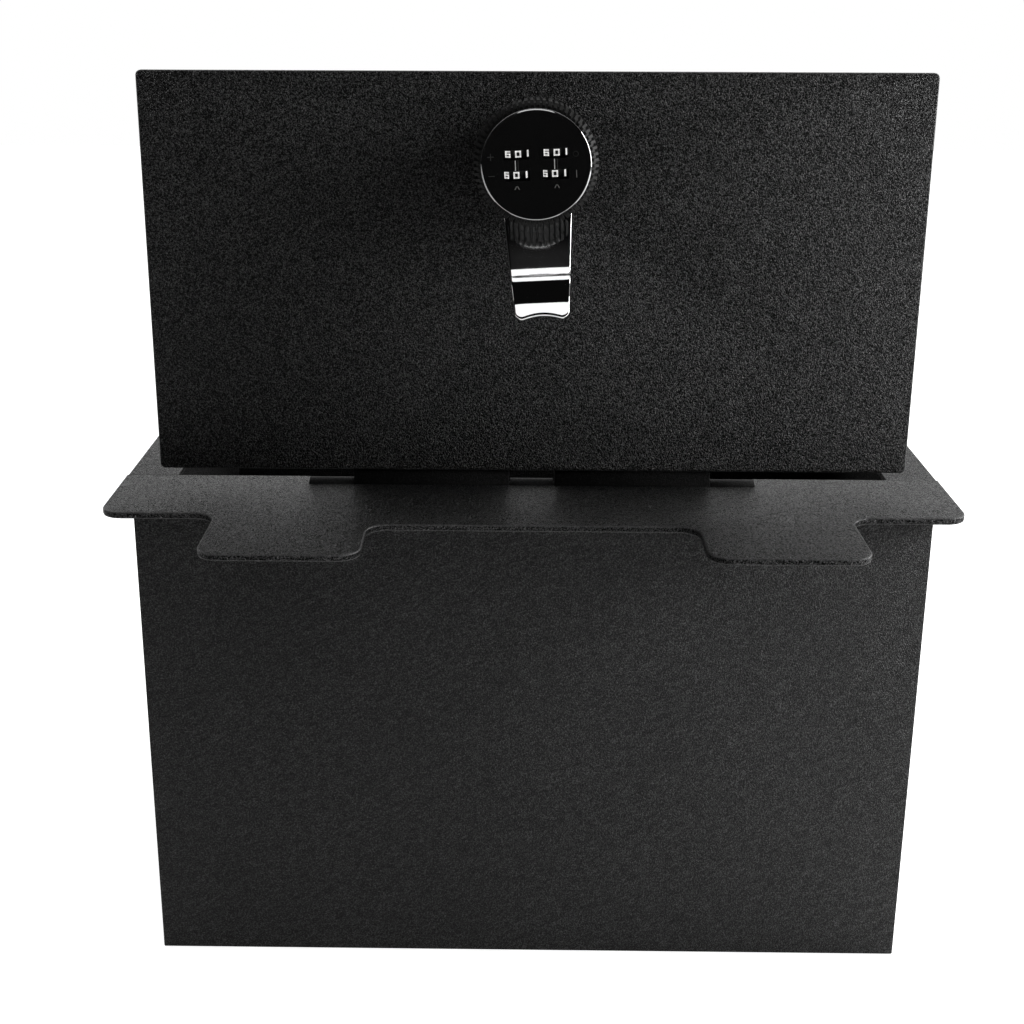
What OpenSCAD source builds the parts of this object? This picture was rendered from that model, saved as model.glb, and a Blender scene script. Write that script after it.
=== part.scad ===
// Steel drop-in cash box for a vehicle console: a welded tub with a tabbed rim, a hinged
// plate lid and a four-wheel combination knob that throws three bolts through a spiral cam.
// Frame: origin at the centre of the floor's underside, +Z up, +Y from the hinge side to the
// lock side. The lid is drawn standing open at ninety degrees, with the bolts drawn back.

/* [Body] */
// Outside width of the tub
body_w = 305; // [280:1:330]
// Outside depth of the tub, from the hinge side to the lock side
body_d = 200; // [200:1:230]
// Height from the floor's underside to the top of the rim
body_h = 195; // [120:1:260]
// Thickness of the steel plate
sheet = 2.7; // [2.4:0.1:2.9]
// Radius of the four fixing holes in the floor
floor_hole_r = 3.5; // [2.5:0.5:5]
// Spacing of the fixing holes across the width
floor_hole_dx = 220; // [160:5:240]
// Spacing of the fixing holes along the depth
floor_hole_dy = 130; // [80:5:150]

/* [Rim] */
// How far the side and lock-side rims stand out past the walls
rim_out = 11.5; // [8:0.5:16]
// How far the hinge-side rim stands out past the side walls
hinge_rim_out = 12; // [8:0.5:16]
// Width of the ledge between a side wall's outer face and the mouth
rim_in = 8.7; // [7:0.1:9]
// Reach of the hinge-side rim past the wall at its two ends
end_reach = 5; // [3:0.5:7]
// Reach of the hinge-side rim past the wall between the tabs
mid_reach = 16; // [14:0.5:20]
// Reach of the two tabs past the wall
tab_reach = 48.5; // [40:0.5:60]
// Distance from the middle to a tab's inner side
tab_in_x = 61.5; // [50:0.5:70]
// Distance from the middle to a tab's outer side
tab_out_x = 120; // [105:0.5:130]
// Radius of the rim's corners and inner fillets
corner_r = 8; // [4:0.5:8]

/* [Lid] */
// Width of the lid plate
lid_w = 296; // [290:1:310]
// Length of the lid plate, from the hinge edge to the free edge
lid_l = 154; // [150:1:156]
// Corner radius of the lid plate
lid_corner_r = 2; // [1:0.5:6]
// Gap between the closed lid and the rim
lid_gap = 0.3; // [0.2:0.1:0.4]

/* [Hinge] */
// Length of the hinge
hinge_l = 178; // [170:1:200]
// Distance from the hinge-side wall's outer face back to the hinge axis
hinge_setback = 34.4; // [33:0.1:36]
// Depth of the hinge axis below the top of the rim
hinge_drop = 1.1; // [1:0.1:1.2]
// Outside radius of the knuckles
knuckle_r = 3; // [2.9:0.1:3.1]
// Radius of the hinge pin
pin_r = 1.6; // [1.4:0.1:1.7]
// Thickness of the hinge leaves
leaf = 2; // [1.8:0.1:2]
// Length of each fixed end knuckle
end_knuckle = 17.5; // [12:0.5:20]
// Length of the fixed middle knuckle
mid_knuckle = 17; // [12:0.5:20]

/* [Lock head] */
// Distance from the lid's free edge to the lock axis
lock_inset = 31.3; // [31:0.1:33]
// Resting turn of the lock head from upright, in degrees
head_turn = 3; // [0:0.5:5]
// Radius of the glossy face
face_r = 19.9; // [19:0.1:21]
// Outside radius of the four dial rings
ring_r = 22.7; // [21.5:0.1:24]
// Thickness of one dial ring
ring_t = 3.1; // [3:0.05:3.15]
// Radius of a number wheel
wheel_r = 6.5; // [6.2:0.1:6.6]
// Height of a number wheel
wheel_h = 3.5; // [3:0.1:3.6]

/* [Bolt work] */
// Travel of each bolt over a quarter turn of the handle
bolt_travel = 9; // [7:0.5:9]
// Distance from the cam's centre to a follower pin with the bolts drawn back
follower_r0 = 11; // [10.5:0.5:11]
// Width of a bolt
bolt_w = 14; // [12:0.5:14]
// Thickness of a bolt
bolt_t = 3; // [2.5:0.1:3]

/* [Hidden] */
$fn = 96;
eps = 1;          // overshoot of a cutting tool past the face that it opens
run = 0.05;       // radial clearance of a running fit

// Tub
wall_h = body_h - sheet;
half_w = body_w / 2;
half_d = body_d / 2;
mouth_x = half_w - rim_in;

// Hinge axis, and the open lid's outer face and lower edge
hinge_y = -half_d + hinge_setback;
hinge_z = body_h - hinge_drop;
lid_rise = hinge_drop + lid_gap + sheet;
lid_face_y = hinge_y - lid_rise;
lid_edge = 7.5;   // from the hinge axis to the lid's hinge edge
lid_z0 = hinge_z + lid_edge;
mouth_y0 = hinge_y + lid_edge - lid_gap;
mouth_y1 = hinge_y + lid_edge + lid_l - 4.1;
mid_half = mid_knuckle / 2;
end_x0 = hinge_l / 2 - end_knuckle;
knuckle_gap = 0.5;
notch_gap = 0.02; // the open lid's leaf bears on the notch's edge across this gap

// Lock axis, and the mouth's edge seen from it
lock_z = lid_z0 + lid_l - lock_inset;
mouth_up = lock_inset - 4.1;

// Heights in the lock's own frame: x right, y towards the free edge, z out of the lid
barrel_r = 10.9;
barrel_flange_r = 17;
barrel_flange_t = 2;
spindle_r = 6;
square_half = 4;
hub_z0 = 2.3;
hub_z1 = 5.3;
hub_r = 17;
core_r = 17.9;
core_flange_r = 21;
ring_z0 = 8;
ring_pitch = 3.2;
core_z1 = ring_z0 + 4 * ring_pitch;
face_t = 2.5;
wheel_x = 7;
wheel_rows = [4, -3.5];
wheel_z = core_z1 + 0.6 - wheel_r;
axle_r = 1.5;
axle_y = [-7.9, 8.4];
window = [9.2, 3.6];

bolt_z1 = -(lid_gap + 2 * sheet + 0.7);
bolt_z0 = bolt_z1 - bolt_t;
cam_z1 = bolt_z0 - 0.5;
cam_t = 2.5;
cam_z0 = cam_z1 - cam_t;
cam_r = 24.5;
follower_r = 2;
slot_half = 2.15;
bolt_back = 5.3;  // how far a drawn bolt's tip stays inside the mouth
bolt_end = follower_r0 - 3.5;
guide_z0 = bolt_z0 - 0.2;
guide_half = 11;
strap_t = 2;

// The lever's front line from the hub to the tip, as [y, z] in the lock's own frame
lever_line = [
    [-12, 5.3], [-20, 5.3], [-23.5, 5.8], [-28, 7.2], [-33, 9.6], [-37, 11.6],
    [-39.4, 12.8], [-41.7, 14.6], [-43.6, 15.9], [-45.4, 16.2], [-48.5, 16.4],
    [-50.6, 16.6], [-51.6, 17.1], [-53.4, 18.3], [-55.9, 20]
];
lever_t = 2.4;
lever_top_half = 14.1;
lever_tip_half = 10.3;
lever_tip_r = 3.2;
scoop_r = 18;      // of the hollow in the lever's end
scoop_depth = 1.4;

module at_lock() translate([0, lid_face_y, lock_z]) rotate([90, 0, 0]) children();

module disc(r, z0, z1) translate([0, 0, z0]) cylinder(r = r, h = z1 - z0);

module box(x0, x1, y0, y1, z0, z1) translate([x0, y0, z0]) cube([x1 - x0, y1 - y0, z1 - z0]);

module rod_x(r, x0, x1, y, z)
    translate([x0, y, z]) rotate([0, 90, 0]) cylinder(r = r, h = x1 - x0);

// A rectangle with round corners of radius r, from (x0, y0) to (x1, y1)
module round_rect(x0, x1, y0, y1, r) {
    translate([x0 + r, y0]) square([x1 - x0 - 2 * r, y1 - y0]);
    translate([x0, y0 + r]) square([x1 - x0, y1 - y0 - 2 * r]);
    for (x = [x0 + r, x1 - r], y = [y0 + r, y1 - r]) translate([x, y]) circle(r);
}

// The fill of an inner corner at (x, y) that opens towards (sx, sy)
module fillet(x, y, sx, sy, r)
    difference() {
        translate([x + min(0, sx * r), y + min(0, sy * r)]) square(r);
        translate([x + sx * r, y + sy * r]) circle(r);
    }

// ---- Tub ----

module floor_plate()
    color([0.07, 0.07, 0.075]) difference() {
        box(-half_w + sheet, half_w - sheet, -half_d + sheet, half_d - sheet, 0, sheet);
        for (x = [-1, 1], y = [-1, 1])
            translate([x * floor_hole_dx / 2, y * floor_hole_dy / 2, -eps])
                cylinder(r = floor_hole_r, h = sheet + 2 * eps);
    }

module end_wall(y0)
    color([0.07, 0.07, 0.075]) box(-half_w, half_w, y0, y0 + sheet, 0, wall_h);

module side_wall(x0)
    color([0.07, 0.07, 0.075])
        box(x0, x0 + sheet, -half_d + sheet, half_d - sheet, 0, wall_h);

module hinge_rim_outline() {
    front = -half_d;
    rim_x = half_w + hinge_rim_out;
    round_rect(-rim_x, rim_x, front - end_reach, mouth_y0 - corner_r, corner_r);
    translate([-rim_x, mouth_y0 - 2 * corner_r - sheet])
        square([2 * rim_x, 2 * corner_r + sheet]);
    translate([-tab_out_x + corner_r, front - mid_reach])
        square([2 * (tab_out_x - corner_r), mid_reach]);
    for (s = [-1, 1]) {
        x0 = min(s * tab_in_x, s * tab_out_x);
        round_rect(x0, x0 + tab_out_x - tab_in_x, front - tab_reach, front + corner_r, corner_r);
        fillet(s * tab_in_x, front - mid_reach, -s, -1, corner_r);
        fillet(s * tab_out_x, front - end_reach, s, -1, corner_r);
    }
}

module hinge_side_rim()
    color([0.07, 0.07, 0.075]) translate([0, 0, wall_h]) linear_extrude(sheet)
        difference() {
            hinge_rim_outline();
            notch_y = hinge_y - knuckle_r - notch_gap;
            translate([-hinge_l / 2 - 0.3, notch_y])
                square([hinge_l + 0.6, mouth_y0 - notch_y + eps]);
        }

module lock_side_rim()
    color([0.07, 0.07, 0.075]) translate([0, 0, wall_h]) linear_extrude(sheet) {
        rim_x = half_w + rim_out;
        round_rect(-rim_x, rim_x, mouth_y1, half_d + rim_out, corner_r);
        translate([-rim_x, mouth_y1]) square([2 * rim_x, corner_r]);
    }

module side_rim(s)
    color([0.07, 0.07, 0.075])
        box(min(s * mouth_x, s * (half_w + rim_out)), max(s * mouth_x, s * (half_w + rim_out)),
            mouth_y0, mouth_y1, wall_h, body_h);

// ---- Hinge ----

module hinge_fixed_leaf()
    color([0.07, 0.07, 0.075]) difference() {
        union() {
            box(-hinge_l / 2, hinge_l / 2, hinge_y - 26, hinge_y - knuckle_r - 0.3,
                wall_h - leaf, wall_h);
            for (x = [[-hinge_l / 2, -end_x0], [-mid_half, mid_half], [end_x0, hinge_l / 2]]) {
                rod_x(knuckle_r, x[0], x[1], hinge_y, hinge_z);
                box(x[0], x[1], hinge_y - knuckle_r, hinge_y, wall_h - leaf, hinge_z);
                box(x[0], x[1], hinge_y - knuckle_r - 1, hinge_y, wall_h - leaf, wall_h);
            }
        }
        rod_x(pin_r, -hinge_l, hinge_l, hinge_y, hinge_z);
    }

// The moving leaf lies on the lid's inner face, with a strap down to each long knuckle
module hinge_lid_leaf()
    color([0.07, 0.07, 0.075]) difference() {
        union() {
            box(-hinge_l / 2, hinge_l / 2, lid_face_y + sheet, lid_face_y + sheet + leaf,
                lid_z0 + 0.5, lid_z0 + 23);
            for (s = [-1, 1]) {
                x0 = min(s * (mid_half + knuckle_gap), s * (end_x0 - knuckle_gap));
                x1 = x0 + end_x0 - mid_half - 2 * knuckle_gap;
                box(x0, x1, hinge_y - knuckle_r, hinge_y - knuckle_r + leaf, hinge_z, lid_z0 - 0.1);
                box(x0, x1, hinge_y - knuckle_r, lid_face_y + sheet + leaf, lid_z0 - 2.5,
                    lid_z0 - 0.1);
                box(x0, x1, lid_face_y + sheet, lid_face_y + sheet + leaf, lid_z0 - 2.5, lid_z0 + 1);
                rod_x(knuckle_r, x0, x1, hinge_y, hinge_z);
            }
        }
        rod_x(pin_r + run, -hinge_l, hinge_l, hinge_y, hinge_z);
    }

module hinge_pin()
    color([0.6, 0.6, 0.62]) rod_x(pin_r, -hinge_l / 2, hinge_l / 2, hinge_y, hinge_z);

// ---- Lid ----

module lid_plate()
    color([0.06, 0.06, 0.065]) at_lock() difference() {
        translate([0, 0, -sheet]) linear_extrude(sheet)
            round_rect(-lid_w / 2, lid_w / 2, lock_inset - lid_l, lock_inset, lid_corner_r);
        disc(barrel_r, -sheet - eps, eps);
    }

// A guide that the bolt along +x slides through, from x0 to x1
module bolt_guide(x0, x1, strap)
    color([0.07, 0.07, 0.075]) difference() {
        box(x0, x1, -guide_half, guide_half, guide_z0 - strap, -sheet);
        box(x0 - eps, x1 + eps, -bolt_w / 2 - 0.2, bolt_w / 2 + 0.2,
            guide_z0 - (strap > 0 ? 0 : eps), bolt_z1 + 0.2);
    }

module inner_guide(turn) at_lock() rotate(turn) bolt_guide(32, 40, strap_t);

module outer_guide(turn) at_lock() rotate(turn) bolt_guide(124, 132, strap_t);

module front_guide() at_lock() rotate(90) bolt_guide(14, 24, 0);

// ---- Lock head ----

module lock_barrel()
    color([0.1, 0.1, 0.1]) at_lock() difference() {
        union() {
            disc(barrel_flange_r, 0, barrel_flange_t);
            disc(barrel_r, -sheet - 3.3, eps);
        }
        disc(spindle_r + run, -20, 20);
    }

module lock_nut()
    color([0.7, 0.7, 0.72]) at_lock() difference() {
        translate([0, 0, -sheet - 3.2]) cylinder(r = 15, h = 3.2, $fn = 6);
        disc(barrel_r, -20, 20);
    }

module spindle()
    color([0.7, 0.7, 0.72]) at_lock() difference() {
        union() {
            disc(spindle_r, -6.5, 7);
            box(-square_half, square_half, -square_half, square_half, cam_z0, -6);
        }
        disc(2.5, cam_z0 - eps, cam_z0 + 8);
    }

// A smooth point between b and c, as a share t of the way, on the curve through a, b, c and d
function spline(a, b, c, d, t) =
    0.5 * (2 * b + (c - a) * t + (2 * a - 5 * b + 4 * c - d) * t * t
        + (3 * b - a - 3 * c + d) * t * t * t);

function smooth(p, n) = [
    for (i = [0:len(p) - 2], k = [0:n - 1])
        spline(p[max(i - 1, 0)], p[i], p[i + 1], p[min(i + 2, len(p) - 1)], k / n),
    p[len(p) - 1]
];

// The line that lies t behind an outline p that runs down the lever
function behind(p, t) = [
    for (i = [0:len(p) - 1])
        let (d = p[min(i + 1, len(p) - 1)] - p[max(i - 1, 0)])
            p[i] + t * [d[1], -d[0]] / norm(d) * -1
];

module lever_profile() {
    front = smooth(lever_line, 3);
    back = [for (q = behind(front, lever_t)) [q[0], max(q[1], hub_z0)]];
    polygon(concat(front, [for (i = [len(back) - 1:-1:0]) back[i]]));
}

module lever_plan() {
    tip = lever_line[len(lever_line) - 1][0];
    circle(hub_r);
    difference() {
        union() {
            polygon([
                [-lever_top_half, -5], [lever_top_half, -5],
                [lever_tip_half, tip + lever_tip_r], [lever_tip_half - lever_tip_r, tip],
                [lever_tip_r - lever_tip_half, tip], [-lever_tip_half, tip + lever_tip_r]
            ]);
            for (s = [-1, 1])
                translate([s * (lever_tip_half - lever_tip_r), tip + lever_tip_r])
                    circle(lever_tip_r);
        }
        translate([0, tip + scoop_depth - scoop_r]) circle(scoop_r);
    }
}

module lever_handle()
    color([0.85, 0.85, 0.87]) at_lock() rotate(head_turn) difference() {
        union() {
            disc(hub_r, hub_z0, hub_z1);
            intersection() {
                rotate([90, 0, 90]) translate([0, 0, -20]) linear_extrude(40) lever_profile();
                linear_extrude(30) lever_plan();
            }
        }
        disc(spindle_r, -20, 20);
    }

module wheel_pocket(s)
    box(min(s * 0.2, s * 14.3), max(s * 0.2, s * 14.3), wheel_rows[1] - 2.2,
        wheel_rows[0] + 2.2, ring_z0, core_z1 + eps);

module axle(s)
    translate([s * wheel_x, axle_y[0], wheel_z]) rotate([-90, 0, 0])
        cylinder(r = axle_r, h = axle_y[1] - axle_y[0]);

module head_core()
    color([0.03, 0.03, 0.03]) at_lock() rotate(head_turn) difference() {
        union() {
            disc(core_flange_r, hub_z1 + 0.2, ring_z0 - 0.1);
            disc(core_r, hub_z1, core_z1);
        }
        disc(spindle_r, hub_z1 - eps, 7);
        for (s = [-1, 1]) {
            wheel_pocket(s);
            axle(s);
        }
    }

module wheel_axles()
    color([0.7, 0.7, 0.72]) at_lock() rotate(head_turn)
        for (s = [-1, 1]) axle(s);

module face_plate()
    color([0.01, 0.01, 0.01]) at_lock() rotate(head_turn) difference() {
        union() {
            disc(face_r, core_z1, core_z1 + face_t - 0.6);
            translate([0, 0, core_z1 + face_t - 0.6])
                cylinder(r1 = face_r, r2 = face_r - 0.6, h = 0.6);
        }
        for (x = [-wheel_x, wheel_x], y = wheel_rows)
            box(x - window[0] / 2, x + window[0] / 2, y - window[1] / 2, y + window[1] / 2,
                core_z1 - eps, core_z1 + face_t + eps);
    }

// Ring i of four, counted from the lid outwards
module dial_ring(i)
    color([0.04, 0.04, 0.04]) at_lock() difference() {
        z = ring_z0 + (i - 1) * ring_pitch;
        disc(ring_r, z, z + ring_t);
        disc(core_r + 2 * run, z - eps, z + ring_t + eps);
    }

// Wheel i of four: 1 and 2 in the upper row, 3 and 4 in the lower row
module number_wheel(i)
    color([0.03, 0.03, 0.03]) at_lock() rotate(head_turn) {
        x = (i % 2 == 1 ? -1 : 1) * wheel_x;
        y = wheel_rows[i < 3 ? 0 : 1];
        translate([x, y - wheel_h / 2, wheel_z]) rotate([-90, 0, 0]) difference() {
            cylinder(r = wheel_r, h = wheel_h);
            translate([0, 0, -eps]) cylinder(r = axle_r + run, h = wheel_h + 2 * eps);
        }
    }

// ---- Bolt work ----

function polar(r, a) = [r * cos(a), r * sin(a)];
function follower_at(turn) = follower_r0 + bolt_travel * turn / 90;
// Half of the slot's width along a radius, so that it is slot_half square to the slot's line
function slot_radial(r) = slot_half * norm([bolt_travel / 90 * 180 / PI, r]) / r;

// The spiral slot that moves a follower at angle aim outwards as the cam turns by 90 degrees
module spiral_slot(aim) {
    turns = [0:5:90];
    polygon(concat(
        [for (t = turns) polar(follower_at(t) + slot_radial(follower_at(t)), aim - t)],
        [for (t = turns) polar(follower_at(90 - t) - slot_radial(follower_at(90 - t)), aim - 90 + t)]
    ));
    for (t = [0, 90]) translate(polar(follower_at(t), aim - t)) circle(slot_half);
}

module cam_plate()
    color([0.75, 0.72, 0.6]) at_lock() translate([0, 0, cam_z0]) linear_extrude(cam_t)
        difference() {
            circle(cam_r);
            square(2 * (square_half + run), center = true);
            for (aim = [0, 90, 180]) spiral_slot(aim);
        }

module cam_washer()
    color([0.7, 0.7, 0.72]) at_lock() difference() {
        disc(7.5, cam_z0 - 1.2, cam_z0);
        disc(2.5, -30, 0);
    }

module cam_screw()
    color([0.7, 0.7, 0.72]) at_lock() difference() {
        union() {
            disc(2.5, cam_z0 - 1.2, cam_z0 + 8);
            disc(4.8, cam_z0 - 4.2, cam_z0 - 1.2);
        }
        translate([0, 0, cam_z0 - 4.2 - eps]) cylinder(r = 2.3, h = 2 + eps, $fn = 6);
    }

// A flat bolt along +x with its follower pin, drawn back so that its tip is at tip_x
module bolt(tip_x) {
    chamfer = 2;
    translate([0, 0, bolt_z0]) linear_extrude(bolt_t)
        polygon([
            [bolt_end, -bolt_w / 2], [tip_x - chamfer, -bolt_w / 2], [tip_x, chamfer - bolt_w / 2],
            [tip_x, bolt_w / 2 - chamfer], [tip_x - chamfer, bolt_w / 2], [bolt_end, bolt_w / 2]
        ]);
    translate([follower_r0, 0, 0]) disc(follower_r, cam_z0 - 0.8, bolt_z0 + 0.5);
}

module side_bolt(turn)
    color([0.75, 0.72, 0.6]) at_lock() rotate(turn) bolt(mouth_x - bolt_back);

module front_bolt()
    color([0.75, 0.72, 0.6]) at_lock() rotate(90) bolt(mouth_up - bolt_back);

floor_plate();
end_wall(-half_d);  // hinge_side_wall
end_wall(half_d - sheet);  // lock_side_wall
side_wall(-half_w);  // left_wall
side_wall(half_w - sheet);  // right_wall
hinge_side_rim();
lock_side_rim();
side_rim(-1);  // left_rim
side_rim(1);  // right_rim
hinge_fixed_leaf();
hinge_pin();
lid_plate();
hinge_lid_leaf();
inner_guide(180);  // left_inner_guide
outer_guide(180);  // left_outer_guide
inner_guide(0);  // right_inner_guide
outer_guide(0);  // right_outer_guide
front_guide();
lock_barrel();
lock_nut();
spindle();
lever_handle();
head_core();
face_plate();
wheel_axles();
cam_plate();
cam_washer();
cam_screw();
side_bolt(180);  // left_bolt
side_bolt(0);  // right_bolt
front_bolt();
dial_ring(1);  // dial_ring_1
dial_ring(2);  // dial_ring_2
dial_ring(3);  // dial_ring_3
dial_ring(4);  // dial_ring_4
number_wheel(1);  // number_wheel_1
number_wheel(2);  // number_wheel_2
number_wheel(3);  // number_wheel_3
number_wheel(4);  // number_wheel_4
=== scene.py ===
import bisect
import math

import bmesh
import bpy
from mathutils import Matrix, Vector


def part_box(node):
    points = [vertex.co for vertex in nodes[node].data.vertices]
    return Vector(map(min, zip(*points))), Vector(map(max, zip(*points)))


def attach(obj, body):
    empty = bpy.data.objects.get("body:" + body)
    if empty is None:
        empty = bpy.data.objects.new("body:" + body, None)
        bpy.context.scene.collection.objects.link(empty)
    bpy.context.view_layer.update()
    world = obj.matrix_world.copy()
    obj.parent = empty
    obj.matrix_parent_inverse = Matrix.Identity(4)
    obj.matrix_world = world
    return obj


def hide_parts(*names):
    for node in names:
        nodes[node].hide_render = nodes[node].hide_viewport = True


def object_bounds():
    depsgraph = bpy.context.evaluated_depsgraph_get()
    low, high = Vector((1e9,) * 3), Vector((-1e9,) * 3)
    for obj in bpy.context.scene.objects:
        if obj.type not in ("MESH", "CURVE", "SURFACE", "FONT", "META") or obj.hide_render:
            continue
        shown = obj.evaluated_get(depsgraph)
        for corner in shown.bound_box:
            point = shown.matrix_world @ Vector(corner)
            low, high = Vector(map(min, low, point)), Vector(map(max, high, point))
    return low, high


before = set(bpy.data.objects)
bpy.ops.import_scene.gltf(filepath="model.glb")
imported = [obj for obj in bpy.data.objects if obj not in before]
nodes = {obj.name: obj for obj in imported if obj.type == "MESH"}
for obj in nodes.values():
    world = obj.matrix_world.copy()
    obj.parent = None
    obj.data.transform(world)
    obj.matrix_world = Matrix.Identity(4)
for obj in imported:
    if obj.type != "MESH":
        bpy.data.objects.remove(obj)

MM = 0.001
cad_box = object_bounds()


# ---------------------------------------------------------------- places taken from the frame

def middle(node):
    lo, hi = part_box(node)
    return (lo + hi) / 2


LID_FACE_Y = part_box("lid_plate")[0].y
HEAD_TURN = math.radians(3.0)  # how far the knob stands off plumb
# The lock's own frame, in mm: x right, y towards the lid's free edge, z out of the lid
lock = (
    Matrix.Translation((middle("head_core").x, LID_FACE_Y, middle("head_core").z))
    @ Matrix.Rotation(math.pi / 2, 4, "X")
    @ Matrix.Scale(MM, 4)
)
head = lock @ Matrix.Rotation(HEAD_TURN, 4, "Z")


def lock_depth(node):
    """How far a node's two faces stand out of the lid, in mm."""
    lo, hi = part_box(node)
    return (LID_FACE_Y - hi.y) / MM, (LID_FACE_Y - lo.y) / MM


def radius_of(node):
    """The radius, in mm, of a round node seen along the lock's axis."""
    lo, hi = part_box(node)
    return (hi.x - lo.x) / 2 / MM


# ---------------------------------------------------------------- camera, light and floor

CAMERA_AT = (-0.0083, -0.65758, 0.39028)
PITCH, YAW, ROLL = math.radians(17.947), math.radians(0.718), math.radians(-0.204)


def make_camera():
    data = bpy.data.cameras.new("camera")
    data.sensor_width = 36.0
    data.lens = 54.56
    data.shift_x = 0.0192
    data.shift_y = -0.0370
    data.clip_start, data.clip_end = 0.01, 50.0
    cam = bpy.data.objects.new("camera", data)
    bpy.context.scene.collection.objects.link(cam)
    turn = (
        Matrix.Rotation(YAW, 4, "Z")
        @ Matrix.Rotation(math.pi / 2 - PITCH, 4, "X")
        @ Matrix.Rotation(-ROLL, 4, "Z")
    )
    cam.matrix_world = Matrix.Translation(CAMERA_AT) @ turn
    bpy.context.scene.camera = cam


def area_light(name, at, target, width, height, power):
    data = bpy.data.lights.new(name, "AREA")
    data.shape = "RECTANGLE"
    data.size, data.size_y = width, height
    data.energy = power
    obj = bpy.data.objects.new(name, data)
    bpy.context.scene.collection.objects.link(obj)
    obj.location = at
    obj.rotation_euler = (Vector(target) - Vector(at)).to_track_quat("-Z", "Y").to_euler()


# Direction component of the sky, where it starts and ends to brighten, and from what to what
SKY_SWEEPS = (("Y", -0.1, 0.6, 0.004, 1.4), ("Z", 0.6, 0.92, 0.0, 0.06))


def make_world():
    """A white backdrop behind the box, little light in front of it; the camera sees plain white."""
    world = bpy.data.worlds.new("studio")
    bpy.context.scene.world = world
    world.use_nodes = True
    tree = world.node_tree
    tree.nodes.clear()

    def node(kind):
        return tree.nodes.new("ShaderNode" + kind)

    out, mix, path = node("OutputWorld"), node("MixShader"), node("LightPath")
    seen, room = node("Background"), node("Background")
    seen.inputs["Strength"].default_value = 1.0
    seen.inputs["Color"].default_value = (1, 1, 1, 1)
    coord, split, total = node("TexCoord"), node("SeparateXYZ"), node("Math")
    link = tree.links.new
    link(coord.outputs["Generated"], split.inputs["Vector"])
    for i, (axis, start, end, low, high) in enumerate(SKY_SWEEPS):
        sweep = node("MapRange")
        sweep.interpolation_type = "SMOOTHSTEP"
        sweep.inputs["From Min"].default_value = start
        sweep.inputs["From Max"].default_value = end
        sweep.inputs["To Min"].default_value = low
        sweep.inputs["To Max"].default_value = high
        link(split.outputs[axis], sweep.inputs["Value"])
        link(sweep.outputs["Result"], total.inputs[i])
    link(total.outputs["Value"], room.inputs["Strength"])
    link(path.outputs["Is Camera Ray"], mix.inputs["Fac"])
    link(room.outputs["Background"], mix.inputs[1])
    link(seen.outputs["Background"], mix.inputs[2])
    link(mix.outputs["Shader"], out.inputs["Surface"])


FLOOR_GLOW, FLOOR_GLOW_SEEN = 0.19, 0.85


def make_floor():
    """A pale table, 0.8 m deep in front of the box, brighter to the camera than to the box."""
    mesh = bpy.data.meshes.new("floor")
    z = cad_box[0].z - 0.0002
    corners = [(-3.0, -0.8, z), (3.0, -0.8, z), (3.0, 3.0, z), (-3.0, 3.0, z)]
    mesh.from_pydata(corners, [], [(0, 1, 2, 3)])
    obj = bpy.data.objects.new("floor", mesh)
    bpy.context.scene.collection.objects.link(obj)
    mat = bpy.data.materials.new("pale_floor")
    mat.use_nodes = True
    tree = mat.node_tree
    shader = tree.nodes["Principled BSDF"]
    shader.inputs["Base Color"].default_value = (0.86, 0.86, 0.86, 1)
    shader.inputs["Roughness"].default_value = 0.8
    shader.inputs["Specular IOR Level"].default_value = 0.1
    shader.inputs["Emission Color"].default_value = (1, 1, 1, 1)
    path = tree.nodes.new("ShaderNodeLightPath")
    glow = tree.nodes.new("ShaderNodeMapRange")
    glow.inputs["To Min"].default_value = FLOOR_GLOW
    glow.inputs["To Max"].default_value = FLOOR_GLOW_SEEN
    tree.links.new(path.outputs["Is Camera Ray"], glow.inputs["Value"])
    tree.links.new(glow.outputs["Result"], shader.inputs["Emission Strength"])
    obj.data.materials.append(mat)


make_camera()
make_world()
make_floor()
area_light("right_side", (1.4, 0.0, 0.6), (0, 0, 0.25), 0.8, 1.0, 30)
area_light("top_front", (0.0, -0.9, 1.6), (0, 0, 0.2), 1.0, 0.54, 2.1)
bpy.context.scene.view_settings.view_transform = "Standard"
bpy.context.scene.view_settings.look = "None"


# ---------------------------------------------------------------- materials

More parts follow.
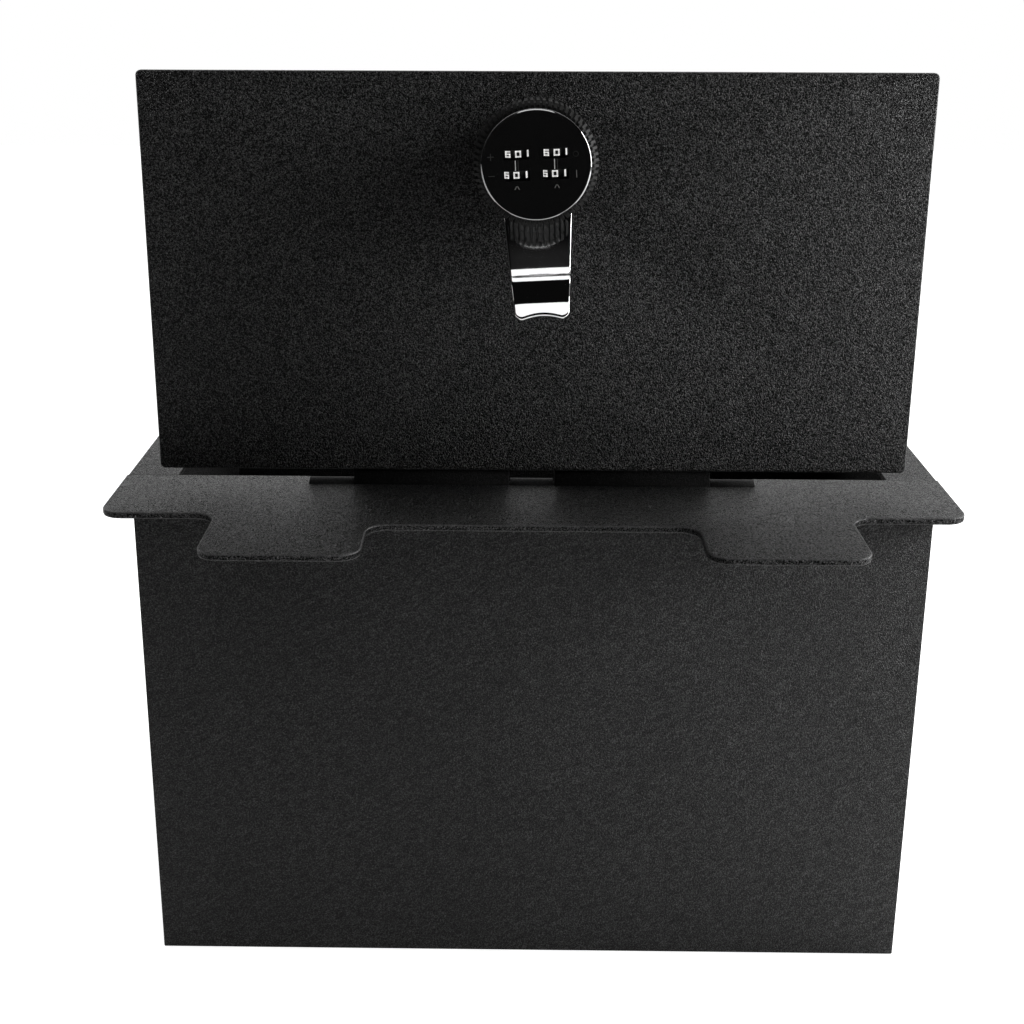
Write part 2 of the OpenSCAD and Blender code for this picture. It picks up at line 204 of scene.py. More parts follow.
class Nodes:
    """A short way to build one material's node tree."""

    def __init__(self, name):
        self.mat = bpy.data.materials.new(name)
        self.mat.use_nodes = True
        self.tree = self.mat.node_tree
        self.shader = self.tree.nodes["Principled BSDF"]
        coord = self.tree.nodes.new("ShaderNodeTexCoord")
        self.place = coord.outputs["Object"]

    def add(self, kind, **inputs):
        n = self.tree.nodes.new("ShaderNode" + kind)
        for key, value in inputs.items():
            self.set(n, key.replace("_", " "), value)
        return n

    def set(self, n, key, value):
        if isinstance(value, bpy.types.NodeSocket):
            self.tree.links.new(value, n.inputs[key])
        else:
            n.inputs[key].default_value = value

    def noise(self, scale, detail=3.0, rough=0.55, distortion=0.0, place=None):
        n = self.add("TexNoise", Vector=place or self.place, Scale=scale, Detail=detail, Roughness=rough)
        n.inputs["Distortion"].default_value = distortion
        return n.outputs["Fac"]

    def cells(self, scale, smooth=0.6):
        n = self.add("TexVoronoi", Vector=self.place, Scale=scale)
        n.feature = "SMOOTH_F1"
        n.inputs["Smoothness"].default_value = smooth
        return n.outputs["Distance"]

    def span(self, value, lo, hi, out_lo, out_hi):
        n = self.add("MapRange", Value=value)
        for key, v in (("From Min", lo), ("From Max", hi), ("To Min", out_lo), ("To Max", out_hi)):
            n.inputs[key].default_value = v
        return n.outputs["Result"]

    def maths(self, op, a, b):
        n = self.tree.nodes.new("ShaderNodeMath")
        n.operation = op
        for i, v in enumerate((a, b)):
            if isinstance(v, bpy.types.NodeSocket):
                self.tree.links.new(v, n.inputs[i])
            else:
                n.inputs[i].default_value = v
        return n.outputs["Value"]

    def blend(self, fac, a, b):
        n = self.tree.nodes.new("ShaderNodeMix")
        n.data_type = "RGBA"
        for key, v in (("Factor", fac), ("A", a), ("B", b)):
            socket = [s for s in n.inputs if s.name == key and (key == "Factor" or s.type == "RGBA")][0]
            if isinstance(v, bpy.types.NodeSocket):
                self.tree.links.new(v, socket)
            else:
                socket.default_value = (*v, 1) if len(v) == 3 else v
        return [s for s in n.outputs if s.type == "RGBA"][0]

    def bump(self, height, distance, strength=1.0):
        return self.add("Bump", Height=height, Distance=distance, Strength=strength).outputs["Normal"]

    def edges(self):
        """1 on sharp outer edges, 0 elsewhere."""
        n = self.tree.nodes.new("ShaderNodeNewGeometry")
        return self.span(n.outputs["Pointiness"], 0.52, 0.62, 0.0, 1.0)

    def towards(self, centre):
        """1 on faces that look towards a point inside the tub, 0 on faces that look away from it."""
        offset = self.tree.nodes.new("ShaderNodeVectorMath")
        offset.operation = "SUBTRACT"
        self.tree.links.new(self.place, offset.inputs[0])
        offset.inputs[1].default_value = centre
        dot = self.tree.nodes.new("ShaderNodeVectorMath")
        dot.operation = "DOT_PRODUCT"
        self.tree.links.new(offset.outputs["Vector"], dot.inputs[0])
        self.tree.links.new(self.place.node.outputs["Normal"], dot.inputs[1])
        return self.span(dot.outputs["Value"], -0.004, 0.004, 1.0, 0.0)

    def finish(self, **inputs):
        for key, value in inputs.items():
            key = key.replace("_", " ")
            if key == "Base Color" and not isinstance(value, bpy.types.NodeSocket):
                value = (*value, 1)
            self.set(self.shader, key, value)
        return self.mat


def powder_coat(name, colour, roughness, grain, speck, streaks=0.1, gloss=0.42, inside=None):
    """A wrinkled powder coat, its wrinkles about 0.8 mm across, in slanting streaks. Its base colour is
    lighter on the peaks and darker in the pits: painted highlight and painted shade for how they catch
    light.

    grain is the depth of the wrinkles, speck the contrast of the painted peaks and pits, and gloss the
    coat's shine. Faces that look towards the point inside get painted shade: near-black, with less
    shine.
    """
    m = Nodes(name)
    coarse = m.noise(1500, 2.5, 0.65, 0.4)
    pebble = m.cells(2100, 0.3)
    slant = m.add("Mapping", Vector=m.place)
    slant.vector_type = "TEXTURE"
    slant.inputs["Rotation"].default_value = (0.0, -0.5, 0.0)
    slant.inputs["Scale"].default_value = (2.4, 2.4, 1.0)
    streak = m.noise(620, 2.0, 0.5, 0.8, slant.outputs["Vector"])
    height = m.maths("SUBTRACT", coarse, m.maths("MULTIPLY", pebble, 0.45))
    ridge = m.maths("MULTIPLY", m.maths("SUBTRACT", streak, 0.5), streaks)
    height = m.maths("ADD", height, ridge)
    tone = m.span(m.noise(9, 3.0), 0.3, 0.7, 0.88, 1.12)
    peak = m.maths("POWER", m.span(height, 0.14, 0.56, 0.0, 1.0), 1.5)
    peak = m.maths("MULTIPLY", peak, tone)
    # Painted highlight and painted shade: the base colour rises on the grain's peaks and falls in its
    # pits, by speck.
    low, high = 1 - 0.75 * speck, 1 + 2.3 * speck
    base = m.blend(peak, tuple(c * low for c in colour), tuple(c * high for c in colour))
    # Painted highlight: sharp outer edges, found by pointiness, pale towards 2.2 times the colour.
    base = m.blend(m.maths("MULTIPLY", m.edges(), 0.35), base, tuple(c * 2.2 for c in colour))
    shine = m.span(peak, 0.0, 1.0, gloss * low, gloss * high)
    if inside is not None:
        # Painted shade inside the tub: faces towards the point inside turn near-black, with a quarter of
        # the shine.
        inner = m.towards(inside)
        base = m.blend(m.maths("MULTIPLY", inner, 0.8), base, (0.002, 0.002, 0.002))
        shine = m.maths("MULTIPLY", shine, m.span(inner, 0.0, 1.0, 1.0, 0.25))
    return m.finish(
        Base_Color=base,
        Roughness=m.span(peak, 0.0, 1.0, roughness + 0.1 * speck, roughness - 0.08 * speck),
        Specular_IOR_Level=shine,
        Normal=m.bump(height, 0.0006 * grain),
    )


def plated_steel(name, colour, roughness):
    m = Nodes(name)
    grain = m.noise(900, 4.0, 0.7)
    cloud = m.noise(60, 3.0)
    base = m.blend(m.span(cloud, 0.3, 0.7, 0.0, 1.0), tuple(c * 0.82 for c in colour), colour)
    base = m.blend(m.maths("MULTIPLY", m.edges(), 0.5), base, (0.85, 0.85, 0.86))
    mixed = m.maths("ADD", grain, m.maths("MULTIPLY", cloud, 0.5))
    rough = m.span(mixed, 0.5, 1.1, roughness - 0.08, roughness + 0.1)
    relief = m.bump(grain, 0.00003, 0.5)
    return m.finish(Base_Color=base, Metallic=1.0, Roughness=rough, Normal=relief)


def chrome(name, shine):
    m = Nodes(name)
    smudge = m.noise(90, 3.0, 0.6, 0.6)
    speck = m.noise(2600, 1.0)
    rough = m.span(smudge, 0.45, 0.8, 0.035, 0.11)
    dull = tuple(shine * c for c in (0.92, 0.92, 0.93))
    base = m.blend(m.span(smudge, 0.3, 0.7, 0.0, 1.0), dull, (shine, shine, shine))
    relief = m.bump(speck, 0.000006, 0.3)
    return m.finish(Base_Color=base, Metallic=1.0, Roughness=rough, Normal=relief)


def gloss_black(name, colour, roughness):
    m = Nodes(name)
    dust = m.noise(1500, 2.0, 0.7)
    smear = m.noise(70, 3.0, 0.6, 0.8)
    base = m.blend(m.span(dust, 0.66, 0.78, 0.0, 0.5), colour, tuple(c * 3 + 0.01 for c in colour))
    rough = m.span(smear, 0.3, 0.75, roughness * 0.7, roughness * 1.5)
    return m.finish(Base_Color=base, Roughness=rough, Normal=m.bump(dust, 0.00001, 0.3))


def satin_black(name, colour, roughness, edge_wear_and_highlight):
    m = Nodes(name)
    grain = m.noise(1700, 3.0, 0.6)
    dark, light = tuple(c * 0.75 for c in colour), tuple(c * 1.3 for c in colour)
    base = m.blend(m.span(grain, 0.3, 0.7, 0.0, 1.0), dark, light)
    # Lighter edges: a little wear on the knob, painted highlight along the number drums' facet edges.
    base = m.blend(m.maths("MULTIPLY", m.edges(), edge_wear_and_highlight), base, (0.07, 0.07, 0.067))
    rough = m.span(grain, 0.3, 0.7, roughness - 0.05, roughness + 0.07)
    relief = m.bump(grain, 0.00003, 0.5)
    return m.finish(Base_Color=base, Roughness=rough, Specular_IOR_Level=0.3, Normal=relief)


def print_with_painted_glow(name, colour, glow):
    """Opaque paint with a little wear; glow is painted light that it gives off itself, though it is no
    lamp.
    """
    m = Nodes(name)
    wear = m.noise(1900, 3.0, 0.6)
    base = m.blend(m.span(wear, 0.25, 0.5, 0.0, 1.0), tuple(c * 0.6 for c in colour), colour)
    return m.finish(
        Base_Color=base,
        Roughness=0.6,
        Emission_Color=(1.0, 1.0, 0.98, 1.0),
        Emission_Strength=m.span(wear, 0.25, 0.5, glow * 0.7, glow),
        Normal=m.bump(wear, 0.00002, 0.4),
    )


# The tub's coat, with painted shade on the faces inside the tub.
tub_coat_painted_shade_inside = powder_coat("tub_coat_painted_shade_inside", (0.0205, 0.0205, 0.0205), 0.50, 1.3, 0.68, 0.35, inside=(0, 0, 0.1))
coat = powder_coat("black_powder_coat", (0.0205, 0.0205, 0.0205), 0.50, 1.3, 0.68, 0.35)
# A darker copy of the same coat for the lid: painted shade.
lid_coat_painted_shade = powder_coat("black_lid_coat", (0.0105, 0.0105, 0.0105), 0.46, 1.8, 1.05)
# A darker copy of the coat for the rims: painted shade on the flanges; their grazing shine stays.
rim_coat_painted_shade = powder_coat("black_rim_coat", (0.004, 0.004, 0.004), 0.29, 2.6, 1.2, 0.1, 0.33)
# A lighter copy of the coat for the bevels of lid and rims: partly thinner coat on edges, partly painted
# highlight.
edge_coat_and_painted_highlight = powder_coat("thin_coat_and_painted_highlight_on_edges", (0.05, 0.05, 0.05), 0.38, 0.6, 0.4)
# A near-black copy of the coat for the hinge: painted shade for the hinge gap, matt so it shows no
# highlight.
hinge_black_painted_shade = powder_coat("hinge_matt_black_painted_shade", (0.003, 0.003, 0.003), 0.75, 0.3, 0.3)
weld_coat = powder_coat("coated_weld", (0.006, 0.006, 0.006), 0.55, 0.4, 0.3, gloss=0.12)
zinc = plated_steel("zinc_plate", (0.56, 0.56, 0.57), 0.33)
yellow_zinc = plated_steel("bolt_plate", (0.60, 0.56, 0.47), 0.36)
chrome_mat = chrome("bright_chrome", 0.86)
trim_mat = chrome("smoked_chrome", 0.5)
face_mat = gloss_black("face_gloss", (0.009, 0.009, 0.009), 0.07)
lock_mat = satin_black("lock_satin_black", (0.0045, 0.0045, 0.0043), 0.5, 0.1)
wheel_mat = satin_black("wheel_satin_black", (0.014, 0.014, 0.014), 0.3, 1.0)
# The print glows: painted light that keeps the digits and lines bright.
digit_mat = print_with_painted_glow("digit_paint", (0.82, 0.82, 0.80), 0.6)
line_mat = print_with_painted_glow("line_paint", (0.42, 0.42, 0.41), 0.16)
mark_mat = print_with_painted_glow("mark_paint", (0.13, 0.13, 0.12), 0.05)
faint_mat = print_with_painted_glow("faint_mark_paint", (0.022, 0.022, 0.021), 0.004)


def paint(obj, mat):
    if not obj.material_slots:
        obj.data.materials.append(mat)
    for s in obj.material_slots:
        s.link = "OBJECT"
        s.material = mat


NODE_LOOKS = {
    tub_coat_painted_shade_inside: ["floor_plate", "hinge_side_wall", "lock_side_wall", "left_wall", "right_wall"],
    lid_coat_painted_shade: ["lid_plate"],
    rim_coat_painted_shade: ["hinge_side_rim", "lock_side_rim", "left_rim", "right_rim"],
    hinge_black_painted_shade: ["hinge_fixed_leaf", "hinge_lid_leaf", "hinge_pin"],
    zinc: ["lock_nut", "spindle", "wheel_axles", "cam_washer", "cam_screw"],
    yellow_zinc: ["cam_plate", "left_bolt", "right_bolt", "front_bolt"],
    lock_mat: ["lock_barrel", "head_core"],
    face_mat: ["face_plate"],
}
for obj in nodes.values():
    paint(obj, coat)
for mat, names in NODE_LOOKS.items():
    for n in names:
        paint(nodes[n], mat)


# ---------------------------------------------------------------- edges of the sheet-metal nodes

def smooth_by_angle():
    group = bpy.data.node_groups.new("smooth_by_angle", "GeometryNodeTree")
    group.interface.new_socket("Geometry", in_out="INPUT", socket_type="NodeSocketGeometry")
    group.interface.new_socket("Geometry", in_out="OUTPUT", socket_type="NodeSocketGeometry")
    start = group.nodes.new("NodeGroupInput")
    end = group.nodes.new("NodeGroupOutput")
    faces = group.nodes.new("GeometryNodeSetShadeSmooth")
    faces.domain = "FACE"
    edges = group.nodes.new("GeometryNodeSetShadeSmooth")
    edges.domain = "EDGE"
    angle = group.nodes.new("GeometryNodeInputMeshEdgeAngle")
    soft = group.nodes.new("FunctionNodeCompare")
    soft.data_type = "FLOAT"
    soft.operation = "LESS_THAN"
    soft.inputs["B"].default_value = math.radians(32)
    link = group.links.new
    link(start.outputs[0], faces.inputs["Geometry"])
    link(faces.outputs["Geometry"], edges.inputs["Geometry"])
    link(angle.outputs["Unsigned Angle"], soft.inputs["A"])
    link(soft.outputs["Result"], edges.inputs["Shade Smooth"])
    link(edges.outputs["Geometry"], end.inputs[0])
    return group


SMOOTH = smooth_by_angle()


def soften(obj, width_mm, edge_mat=None):
    """Rounds an object's sharp edges with real geometry, and shades the rest smooth."""
    weld = obj.modifiers.new("join_corners", "WELD")
    weld.merge_threshold = 0.002 * MM
    flat = obj.modifiers.new("join_flat_faces", "DECIMATE")
    flat.decimate_type = "DISSOLVE"
    flat.angle_limit = math.radians(0.3)
    bevel = obj.modifiers.new("edge_radius", "BEVEL")
    bevel.width = width_mm * MM
    bevel.segments = 2
    bevel.limit_method = "ANGLE"
    bevel.angle_limit = math.radians(35)
    bevel.miter_outer = "MITER_ARC"
    bevel.use_clamp_overlap = True
    # The bevel's faces get edge_mat; as used, a lighter coat that is partly painted highlight.
    if edge_mat is not None:
        obj.data.materials.append(edge_mat)
        bevel.material = 1
    smooth = obj.modifiers.new("smooth_shading", "NODES")
    smooth.node_group = SMOOTH


EDGE_RADII = {
    0.55: ["lid_plate", "hinge_side_rim", "lock_side_rim", "left_rim", "right_rim"],
    0.45: ["hinge_side_wall", "lock_side_wall", "left_wall", "right_wall"],
    0.3: [
        "floor_plate", "hinge_fixed_leaf", "hinge_lid_leaf", "left_inner_guide",
        "left_outer_guide", "right_inner_guide", "right_outer_guide", "front_guide",
        "lock_barrel", "lock_nut", "cam_plate", "left_bolt", "right_bolt", "front_bolt",
        "cam_screw", "cam_washer", "hinge_pin",
    ],
}
for n in ("face_plate", "spindle", "head_core"):
    nodes[n].modifiers.new("smooth_shading", "NODES").node_group = SMOOTH
for width, names in EDGE_RADII.items():
    for n in names:
        soften(nodes[n], width, edge_coat_and_painted_highlight if width > 0.5 else None)


# ---------------------------------------------------------------- mesh helpers

def new_piece(name, verts, faces, mat, body, place):
    """A visible piece from a mesh in mm, set in its place and riding on a body."""
    mesh = bpy.data.meshes.new(name)
    mesh.from_pydata([tuple(v) for v in verts], [], faces)
    mesh.transform(place)
    work = bmesh.new()
    work.from_mesh(mesh)
    bmesh.ops.remove_doubles(work, verts=work.verts, dist=1e-7)
    bmesh.ops.recalc_face_normals(work, faces=work.faces)
    work.to_mesh(mesh)
    work.free()
    mesh.materials.append(mat)
    obj = bpy.data.objects.new(name, mesh)
    bpy.context.scene.collection.objects.link(obj)
    obj.modifiers.new("smooth_shading", "NODES").node_group = SMOOTH
    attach(obj, body)
    return obj


def loops_mesh(loops, caps=True):
    """Quads between successive closed loops of equal length, and flat caps at both ends."""
    n = len(loops[0])
    verts = [p for loop in loops for p in loop]
    faces = []
    for i in range(len(loops) - 1):
        for j in range(n):
            k = (j + 1) % n
            faces.append((i * n + j, i * n + k, (i + 1) * n + k, (i + 1) * n + j))
    if caps:
        faces.append(tuple(range(n - 1, -1, -1)))
        last = (len(loops) - 1) * n
        faces.append(tuple(range(last, last + n)))
    return verts, faces


def merge(*parts):
    """One (verts, faces) pair from several."""
    verts, faces = [], []
    for v, f in parts:
        base = len(verts)
        verts += v
        faces += [tuple(i + base for i in face) for face in f]
    return verts, faces


# ---------------------------------------------------------------- dial rings

RING_TEETH = 64
RING_INNER = 18.05
TOOTH_DEPTH = 1.0
RING_EDGE = 0.12
LAST_RING_SLOPE = 1.7
# Share of one tooth's pitch, and whether the groove's full depth is reached there
TOOTH = ((0.0, 0.0), (0.5, 0.0), (0.58, 1.0), (0.92, 1.0))


def dial_ring(number):
    """A ring cut with straight grooves; the outermost ring's front edge is sloped, grooves and all."""
    z0, z1 = lock_depth(f"dial_ring_{number}")
    outer = radius_of(f"dial_ring_{number}")
    points = [
        ((t + share) * 2 * math.pi / RING_TEETH, outer - TOOTH_DEPTH * depth)
        for t in range(RING_TEETH) for share, depth in TOOTH
    ]
    front = LAST_RING_SLOPE if number == 4 else RING_EDGE

    def loop(z, cut):
        """The ring's outline at one depth, drawn in by cut; without a cut, the bore."""
        radii = [RING_INNER if cut is None else r - cut for _, r in points]
        return [(r * math.cos(a), r * math.sin(a), z) for r, (a, _) in zip(radii, points)]

    loops = [
        loop(z0, None), loop(z0, RING_EDGE), loop(z0 + RING_EDGE, 0.0), loop(z1 - 0.8 * front, 0.0),
        loop(z1, front), loop(z1, None), loop(z0, None),
    ]
    verts, faces = loops_mesh(loops, caps=False)
    obj = new_piece(
        f"serrated_ring_{number}", verts, faces, lock_mat, f"ring_{number}", head
    )
    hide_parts(f"dial_ring_{number}")


for number in range(1, 5):
    dial_ring(number)


# ---------------------------------------------------------------- number wheels

# Each digit as strokes on a grid 2 wide and 4 high, from the lower left
DIGITS = {
    0: [[(0, 0), (2, 0), (2, 4), (0, 4), (0, 0)]],
    1: [[(0.9, 0), (0.9, 4)], [(1.2, 0), (1.2, 4)]],
    2: [[(0, 4), (2, 4), (2, 2), (0, 2), (0, 0), (2, 0)]],
    3: [[(0, 4), (2, 4), (2, 0), (0, 0)], [(0.4, 2), (2, 2)]],
    4: [[(0, 4), (0, 1.7), (2, 1.7)], [(1.5, 4), (1.5, 0)]],
    5: [[(2, 4), (0, 4), (0, 2.2), (2, 2.2), (2, 0), (0, 0)]],
    6: [[(2, 4), (0, 4), (0, 0), (2, 0), (2, 2.1), (0, 2.1)]],
    7: [[(0, 4), (2, 4), (0.9, 0)]],
    8: [[(0, 0), (2, 0), (2, 4), (0, 4), (0, 0)], [(0, 2), (2, 2)]],
    9: [[(0, 0), (2, 0), (2, 4), (0, 4), (0, 1.9), (2, 1.9)]],
}
# The digits in their order round the wheel, from left to right
WHEEL_ORDER = (0, 1, 2, 3, 4, 5, 7, 8, 9, 6)
DIGIT_W, DIGIT_H, STROKE = 1.62, 1.85, 0.54
WHEEL_R, WHEEL_HALF_H, WHEEL_CORNER = 6.45, 1.72, 0.22
WHEEL_EDGE, WHEEL_EDGE_SHRINK = 0.2, 0.03
AXLE_R = 1.55


def stroke_quads(line, width):
    """Flat quads along a polyline, with square ends and mitred corners left overlapping."""
    quads = []
    for a, b in zip(line, line[1:]):
        d = Vector((b[0] - a[0], b[1] - a[1]))
        length = d.length
        d /= length
        side = Vector((-d.y, d.x)) * width / 2
        a2 = Vector(a) - d * width / 2
        b2 = Vector(b) + d * width / 2
        quads.append([a2 - side, b2 - side, b2 + side, a2 + side])
    return quads


def flat_strokes(lines, width, thick, place_point):
    """Thin raised strokes; place_point maps (x, y, height) to the piece's own space."""
    steps = 4
    verts, faces = [], []
    for line in lines:
        for quad in stroke_quads(line, width):
            base = len(verts)
            lower, upper = [], []
            for h, store in ((0.0, lower), (thick, upper)):
                for i in range(steps + 1):
                    t = i / steps
                    for edge in ((0, 1), (3, 2)):
                        p = quad[edge[0]] * (1 - t) + quad[edge[1]] * t
                        store.append(place_point(p.x, p.y, h))
            verts += lower + upper
            top = len(lower)
            for i in range(steps):
                a = base + 2 * i
                b = a + top
                faces.append((a, a + 1, a + 3, a + 2))
                faces.append((b, b + 2, b + 3, b + 1))
                faces.append((a, a + 2, b + 2, b))
                faces.append((a + 1, b + 1, b + 3, a + 3))
            faces.append((base, base + top, base + top + 1, base + 1))
            e = base + 2 * steps
            faces.append((e, e + 1, e + 1 + top, e + top))
    return verts, faces


def number_wheel(number, lead):
    """A ten-sided drum with a digit on each side; lead turns its 0 away from the window's middle."""
    name = f"number_wheel_{number}"
    centre = (lock.inverted() @ middle(name).to_4d()).to_3d()
    place = (
        lock
        @ Matrix.Translation(centre)
        @ Matrix.Rotation(HEAD_TURN, 4, "Z")
        @ Matrix.Rotation(math.radians(lead), 4, "Y")
    )
    apothem = WHEEL_R * math.cos(math.pi / 10)
    reach = WHEEL_R * math.sin(math.pi / 10) - WHEEL_CORNER
    loop = []
    for k in range(10):
        a = k * math.pi / 5
        out = Vector((math.sin(a), 0, math.cos(a)))
        across = Vector((math.cos(a), 0, -math.sin(a)))
        loop += [out * apothem - across * reach, out * apothem + across * reach]
    bore = [Vector((p.x, 0, p.z)).normalized() * AXLE_R for p in loop]

    def ring(points, y, shrink=0.0):
        return [(p.x * (1 - shrink), y, p.z * (1 - shrink)) for p in points]

    loops = [
        ring(bore, -WHEEL_HALF_H),
        ring(loop, -WHEEL_HALF_H, WHEEL_EDGE_SHRINK),
        ring(loop, -WHEEL_HALF_H + WHEEL_EDGE),
        ring(loop, WHEEL_HALF_H - WHEEL_EDGE),
        ring(loop, WHEEL_HALF_H, WHEEL_EDGE_SHRINK),
        ring(bore, WHEEL_HALF_H),
        ring(bore, -WHEEL_HALF_H),
    ]
    verts, faces = loops_mesh(loops, caps=False)
    body = f"wheel_{number}"
    drum = new_piece(f"number_drum_{number}", verts, faces, wheel_mat, body, place)
    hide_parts(name)
    parts = []
    for k, digit in enumerate(WHEEL_ORDER):
        turn = Matrix.Rotation(k * math.pi / 5, 3, "Y")
        lines = [
            [((x - 1) * DIGIT_W / 2, (y - 2) * DIGIT_H / 4) for x, y in line] for line in DIGITS[digit]
        ]
        parts.append(flat_strokes(
            lines, STROKE, 0.06,
            lambda x, y, h, turn=turn: tuple(turn @ Vector((x, y, apothem + h - 0.01))),
        ))
    verts, faces = merge(*parts)
    new_piece(f"digits_{number}", verts, faces, digit_mat, body, place)


for number, lead in ((1, 6.0), (2, 5.0), (3, -2.5), (4, -3.0)):
    number_wheel(number, lead)


# ---------------------------------------------------------------- marks on the face

def face_marks():
    """Lines printed between the windows, marks round them, and painted reflections, on the glossy face.
    """
    z = lock_depth("face_plate")[1]

    def on_face(x, y, h):
        return (x, y, z + h - 0.01)

    corners = [t * math.pi / 8 for t in range(17)]
    circle = [(14.3 + 0.9 * math.cos(a), 3.4 + 0.9 * math.sin(a)) for a in corners]
    arrow = ((-0.75, -8.3), (-0.25, -7.3), (0.25, -7.3), (0.75, -8.3))
    pointers = [[(x + dx, y) for dx, y in arrow] for x in (-7.2, 7.2)]
    bar = [(14.4, -4.9), (14.4, -2.5)]
    plus = [[(-17.4, 3.6), (-15.2, 3.6)], [(-16.3, 2.5), (-16.3, 4.7)]]
    dash = [(-17.2, -3.2), (-15.2, -3.2)]
    # Painted reflection: a dim copy of each window line, 1 mm to its right.
    shades = [[(x, -1.5), (x, 1.9)] for x in (-6.5, 7.6)]
    marks = (
        ("window_lines", line_mat, 0.3, [[(x, -1.5), (x, 1.9)] for x in (-7.5, 6.6)]),
        ("window_pointers", mark_mat, 0.26, [*pointers, bar]),
        ("face_marks", faint_mat, 0.26, [*plus, dash, circle, *shades]),
    )
    for name, mat, width, lines in marks:
        verts, faces = flat_strokes(lines, width, 0.04, on_face)
        new_piece(name, verts, faces, mat, "knob", head)


def face_trim():
    """The thin bright bevel round the glossy face."""
    z = lock_depth("face_plate")[1]
    r = radius_of("face_plate")
    profile = [(r + 0.01, z - 1.0), (r + 0.06, z - 0.95), (r + 0.06, z - 0.44), (r + 0.02, z - 0.36),
               (r - 0.03, z - 0.31), (r - 0.46, z + 0.01), (r - 0.5, z + 0.02), (r - 0.54, z - 0.2),
               (r - 0.3, z - 0.9)]
    steps = 160
    angles = [t * 2 * math.pi / steps for t in range(steps)]
    loops = [[(q * math.cos(a), q * math.sin(a), h) for a in angles] for q, h in profile + profile[:1]]
    verts, faces = loops_mesh(loops, caps=False)
    new_piece("face_trim", verts, faces, trim_mat, "knob", head)


face_trim()
face_marks()


# ---------------------------------------------------------------- lever

LEVER_LINE = [
    (-8, 5.3), (-12, 5.3), (-20, 5.3), (-23.5, 5.73), (-28, 7.19), (-33, 9.58), (-37, 11.61),
    (-39.4, 12.81), (-40.7, 13.67), (-41.7, 14.51), (-42.7, 15.35), (-43.6, 15.94),
    (-44.4, 16.17), (-45.4, 16.24), (-48.5, 16.4), (-50.6, 16.55), (-51.6, 17.03),
    (-53.4, 18.29), (-55.9, 20.04),
]
LEVER_T = 2.4
LEVER_TOP_HALF, LEVER_TIP_HALF = 14.1, 10.3
LEVER_TOP_Y, LEVER_TIP_Y = -5, -55.9
LEVER_CORNER, LEVER_HOLLOW = 3.3, 1.5
HUB_R, HUB_BORE, HUB_EDGE = 17.0, 6.1, 0.4


def spline_line(points, steps):
    """A uniform cubic B-spline that follows the points closely: smooth in slope and bend."""
    ends = [points[0]] * 2 + list(points) + [points[-1]] * 2
    out = []
    for i in range(len(ends) - 3):
        a, b, c, d = (Vector(q) for q in ends[i:i + 4])
        for k in range(steps):
            t = k / steps
            out.append(((1 - t) ** 3 * a + (3 * t ** 3 - 6 * t * t + 4) * b
                        + (-3 * t ** 3 + 3 * t * t + 3 * t + 1) * c + t ** 3 * d) / 6)
    out.append(Vector(points[-1]))
    return out


class Track:
    """A plane curve looked up by arc length, with its outward normal."""

    def __init__(self, points):
        self.p = [q for q, r in zip(points, points[1:]) if (r - q).length > 1e-6] + [points[-1]]
        self.s = [0.0]
        for a, b in zip(self.p, self.p[1:]):
            self.s.append(self.s[-1] + (b - a).length)

    def at(self, s):
        s = max(0.0, min(self.s[-1], s))
        i = min(bisect.bisect_right(self.s, s), len(self.s) - 1) - 1
        t = (s - self.s[i]) / (self.s[i + 1] - self.s[i])
        return self.p[i].lerp(self.p[i + 1], t)

    def normal(self, s):
        d = self.at(s + 0.25) - self.at(s - 0.25)
        n = Vector((-d.y, d.x)) / d.length
        return n if n.y > 0 else -n


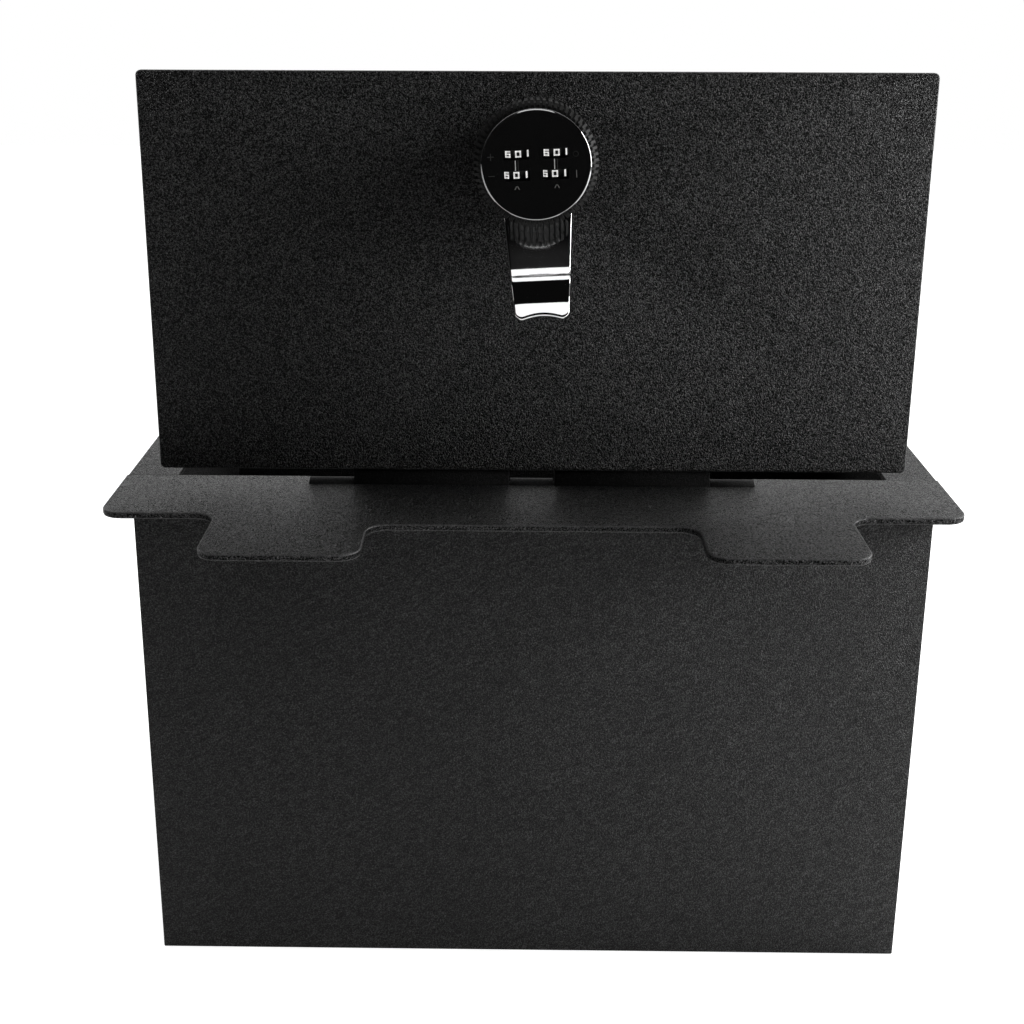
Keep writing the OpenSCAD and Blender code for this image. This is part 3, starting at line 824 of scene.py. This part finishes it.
def lever():
    """The chrome lever: a plate bent outwards, with round corners and a shallow hollow at its end."""
    track = Track(spline_line(LEVER_LINE, 12))
    full = track.s[-1]

    def half_width(y):
        taper = (LEVER_TOP_HALF - LEVER_TIP_HALF) / (LEVER_TIP_Y - LEVER_TOP_Y)
        return LEVER_TOP_HALF - taper * (y - LEVER_TOP_Y)

    def reach(side):
        """How far along the track the lever runs at this share of its width."""
        corner = 0.0
        start = 0.68
        if abs(side) > start:
            q = (abs(side) - start) / (1 - start)
            corner = LEVER_CORNER * (1 - math.sqrt(max(0.0, 1 - q * q)))
        return full - corner - LEVER_HOLLOW * max(0.0, 1 - (side / 0.75) ** 2) ** 1.2

    edge = 0.05
    ring = []
    for flip in (1.0, -1.0):
        for k in range(33):
            ring.append((flip * (-1 + 2 * k / 32) * (1 - edge), flip))
        for k in range(1, 10):
            a = k * math.pi / 10
            ring.append((flip * (1 - edge + edge * math.sin(a)), flip * math.cos(a)))
    stations = [(i / 150, 1.0, 0.0) for i in range(151)]
    for k in range(1, 7):
        a = k * math.pi / 12
        stations.append((1.0, math.cos(a), math.sin(a)))
    loops = []
    for u, thin, out in stations:
        loop = []
        for side, level in ring:
            s = u * reach(side)
            p, n = track.at(s), track.normal(s)
            along = Vector((-n.y, n.x))
            q = p + n * (level * thin - 1) * LEVER_T / 2 + along * out * LEVER_T / 2
            loop.append((side * half_width(p.x), q.x, q.y))
        loops.append(loop)
    body = loops_mesh(loops)
    z0 = lock_depth("lever_handle")[0]
    z1 = LEVER_LINE[0][1]
    angles = [a * math.pi / 48 for a in range(96)]
    hub_profile = (
        (HUB_BORE, z0), (HUB_R - HUB_EDGE, z0), (HUB_R, z0 + HUB_EDGE), (HUB_R, z1 - HUB_EDGE),
        (HUB_R - HUB_EDGE, z1), (HUB_BORE, z1), (HUB_BORE, z0),
    )
    hub = [[(r * math.cos(a), r * math.sin(a), z) for a in angles] for r, z in hub_profile]
    verts, faces = merge(body, loops_mesh(hub, caps=False))
    obj = new_piece("chrome_lever", verts, faces, chrome_mat, "knob", head)
    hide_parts("lever_handle")


lever()


# ---------------------------------------------------------------- weld beads

WELD_LEG = 2.4


def weld_bead(name, start, end, out_a, out_b):
    """A rippled fillet along an inside corner; out_a and out_b point away from it along its faces."""
    start, end, out_a, out_b = Vector(start), Vector(end), Vector(out_a), Vector(out_b)
    length = (end - start).length
    count = max(8, int(length / (WELD_LEG * 0.28)))
    loops = []
    for i in range(count + 1):
        ripple = 1 + 0.07 * math.cos(i * math.pi * 0.5) + 0.04 * math.sin(i * 0.37)
        close = min(1.0, (min(i, count - i) + 0.3) / 3)
        size = WELD_LEG * ripple * close
        at = start.lerp(end, i / count)
        loops.append([
            at - (out_a + out_b) * 0.15,
            at + out_a * size,
            at + (out_a * 0.86 + out_b * 0.42) * size * 0.78,
            at + (out_a + out_b) * 0.5 * size * 1.02,
            at + (out_a * 0.42 + out_b * 0.86) * size * 0.78,
            at + out_b * size,
        ])
    verts, faces = loops_mesh(loops)
    new_piece(name, verts, faces, weld_coat, "tub", Matrix.Scale(MM, 4))


def tub_welds():
    """Weld in the tub's inside corners, and short runs of it along the floor."""
    x0, x1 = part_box("left_wall")[1].x / MM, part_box("right_wall")[0].x / MM
    y0, y1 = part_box("hinge_side_wall")[1].y / MM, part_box("lock_side_wall")[0].y / MM
    z0, z1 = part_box("floor_plate")[1].z / MM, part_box("left_wall")[1].z / MM
    corners = ((x0, y0, 1, 1), (x1, y0, -1, 1), (x0, y1, 1, -1), (x1, y1, -1, -1))
    for number, (x, y, ax, ay) in enumerate(corners, 1):
        bottom, top = (x, y, z0 + 4), (x, y, z1 - 4)
        weld_bead(f"corner_weld_{number}", bottom, top, (ax, 0, 0), (0, ay, 0))
    runs = [(y, ay, x) for y, ay in ((y0, 1), (y1, -1)) for x in (-90, 0, 90)]
    for number, (y, ay, x) in enumerate(runs, 1):
        weld_bead(f"floor_weld_{number}", (x - 20, y, z0), (x + 20, y, z0), (0, ay, 0), (0, 0, 1))


tub_welds()
